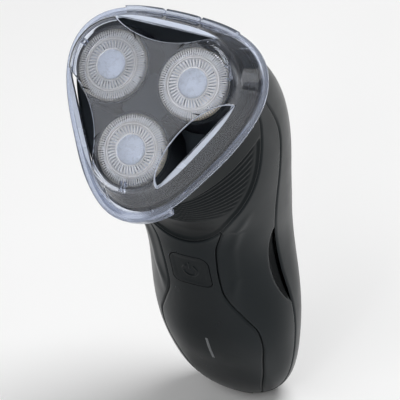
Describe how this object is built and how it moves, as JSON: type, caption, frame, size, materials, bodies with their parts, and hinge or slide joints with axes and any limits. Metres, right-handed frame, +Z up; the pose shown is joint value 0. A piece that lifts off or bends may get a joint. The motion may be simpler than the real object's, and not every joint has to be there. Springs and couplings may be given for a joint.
{
  "type": "rotary electric shaver",
  "caption": "Cordless rotary shaver with floating round shaving heads on an angled neck, a clear push-fit cap, a waisted handle and a front power button.",
  "frame": {"origin": "middle of the small flat at the foot of the handle", "axes": "+Z up along the handle, -Y is the button side towards which the shaving head is tilted by 45 degrees, +X is the right of someone facing the button"},
  "size_m": [0.0634, 0.0783, 0.1614],
  "materials": {
    "body_black": "satin black moulded plastic with a fine texture",
    "head_black": "satin dark grey moulded plastic",
    "clear_cap": "clear polycarbonate with a slight blue tint, polished",
    "guard_steel": "slotted stainless steel, fine turned grain",
    "guard_cap_satin": "silver white satin dome",
    "white_nylon": "natural white nylon",
    "inner_grey": "grey glass-filled plastic",
    "steel": "plated steel",
    "brass": "brass",
    "cell_wrap": "green shrink sleeve",
    "board_green": "green solder mask",
    "component_black": "black moulded component",
    "seal_rubber": "soft black rubber",
    "lens_clear": "frosted clear plastic",
    "lead_red": "insulated wire"
  },
  "bodies": {
    "root": {"front_panel": "body_black", "left_side_shell": "body_black", "right_side_shell": "body_black", "rear_shell": "body_black", "indicator_lens": "lens_clear", "charge_socket": "inner_grey", "charge_pins": "brass", "neck_housing": "body_black", "gearbox_deck": "inner_grey", "gearbox_base": "inner_grey", "motor_can": "steel", "motor_bush": "brass", "motor_end_cap": "white_nylon", "motor_tabs": "steel", "gearbox_screws": "steel", "battery_cells": "cell_wrap", "cell_links": "steel", "battery_cradle": "inner_grey", "circuit_board": "board_green", "tact_switch": "component_black", "indicator_led": "lens_clear", "charge_controller": "component_black", "button_seal": "seal_rubber", "light_guide": "lens_clear", "case_screws": "steel", "lower_chassis": "inner_grey", "motor_leads": "lead_red"},
    "button": {"power_button": "body_black"},
    "motor_rotor": {"motor_pinion": "white_nylon", "motor_shaft": "steel"},
    "head": {"hair_chamber": "head_black", "head_frame": "head_black", "retaining_frame": "inner_grey", "float_springs": "steel"},
    "cap": {"protective_cap": "clear_cap"},
    "lock_knob": {"lock_knob": "inner_grey"},
    "drive_1": {"drive_gear_1": "white_nylon", "drive_spindle_1": "white_nylon"},
    "guard_1": {"shaving_guard_1": "guard_steel", "guard_cap_1": "guard_cap_satin"},
    "cutter_1": {"cutter_1": "guard_steel"},
    "drive_2": {"drive_gear_2": "white_nylon", "drive_spindle_2": "white_nylon"},
    "guard_2": {"shaving_guard_2": "guard_steel", "guard_cap_2": "guard_cap_satin"},
    "cutter_2": {"cutter_2": "guard_steel"},
    "drive_3": {"drive_gear_3": "white_nylon", "drive_spindle_3": "white_nylon"},
    "guard_3": {"shaving_guard_3": "guard_steel", "guard_cap_3": "guard_cap_satin"},
    "cutter_3": {"cutter_3": "guard_steel"}
  },
  "joints": [
    {"name": "power_press", "type": "slide", "parent": "root", "child": "button", "axis": [0, 1, 0], "range_m": [0, 0.0008], "stiffness_N_per_m": 600},
    {"name": "motor_spin", "type": "hinge", "parent": "root", "child": "motor_rotor", "pos_m": [0, -0.03465, 0.13025], "axis": [0, -0.7071, 0.7071], "continuous": true},
    {"name": "head_pull_off", "type": "slide", "parent": "root", "child": "head", "axis": [0, -0.7071, 0.7071], "range_m": [0, 0.03]},
    {"name": "cap_lift", "type": "slide", "parent": "head", "child": "cap", "axis": [0, -0.7071, 0.7071], "range_m": [0, 0.034]},
    {"name": "lock_turn", "type": "hinge", "parent": "head", "child": "lock_knob", "pos_m": [0, -0.04384, 0.13944], "axis": [0, -0.7071, 0.7071], "range_deg": [0, 90]},
    {"name": "drive_1_spin", "type": "hinge", "parent": "root", "child": "drive_1", "pos_m": [-0.01323, -0.02925, 0.13565], "axis": [0, -0.7071, 0.7071], "continuous": true},
    {"name": "guard_1_float", "type": "slide", "parent": "head", "child": "guard_1", "axis": [0.0322, 0.6935, -0.7198], "range_m": [0, 0.0008], "stiffness_N_per_m": 500},
    {"name": "cutter_1_spin", "type": "hinge", "parent": "guard_1", "child": "cutter_1", "pos_m": [-0.01323, -0.0441, 0.1505], "axis": [-0.0322, -0.6935, 0.7198], "continuous": true},
    {"name": "drive_2_spin", "type": "hinge", "parent": "root", "child": "drive_2", "pos_m": [0.01323, -0.02925, 0.13565], "axis": [0, -0.7071, 0.7071], "continuous": true},
    {"name": "guard_2_float", "type": "slide", "parent": "head", "child": "guard_2", "axis": [-0.0322, 0.6935, -0.7198], "range_m": [0, 0.0008], "stiffness_N_per_m": 500},
    {"name": "cutter_2_spin", "type": "hinge", "parent": "guard_2", "child": "cutter_2", "pos_m": [0.01323, -0.0441, 0.1505], "axis": [0.0322, -0.6935, 0.7198], "continuous": true},
    {"name": "drive_3_spin", "type": "hinge", "parent": "root", "child": "drive_3", "pos_m": [0, -0.04545, 0.11945], "axis": [0, -0.7071, 0.7071], "continuous": true},
    {"name": "guard_3_float", "type": "slide", "parent": "head", "child": "guard_3", "axis": [0, 0.7329, -0.6803], "range_m": [0, 0.0008], "stiffness_N_per_m": 500},
    {"name": "cutter_3_spin", "type": "hinge", "parent": "guard_3", "child": "cutter_3", "pos_m": [0, -0.0603, 0.1343], "axis": [0, -0.7329, 0.6803], "continuous": true}
  ],
  "couplings": [
    {"joint": "motor_spin", "follows": "drive_1_spin", "ratio": -1.9048},
    {"joint": "cutter_1_spin", "follows": "drive_1_spin", "ratio": 1},
    {"joint": "drive_2_spin", "follows": "drive_1_spin", "ratio": 1},
    {"joint": "cutter_2_spin", "follows": "drive_1_spin", "ratio": 1},
    {"joint": "drive_3_spin", "follows": "drive_1_spin", "ratio": 1},
    {"joint": "cutter_3_spin", "follows": "drive_1_spin", "ratio": 1}
  ]
}
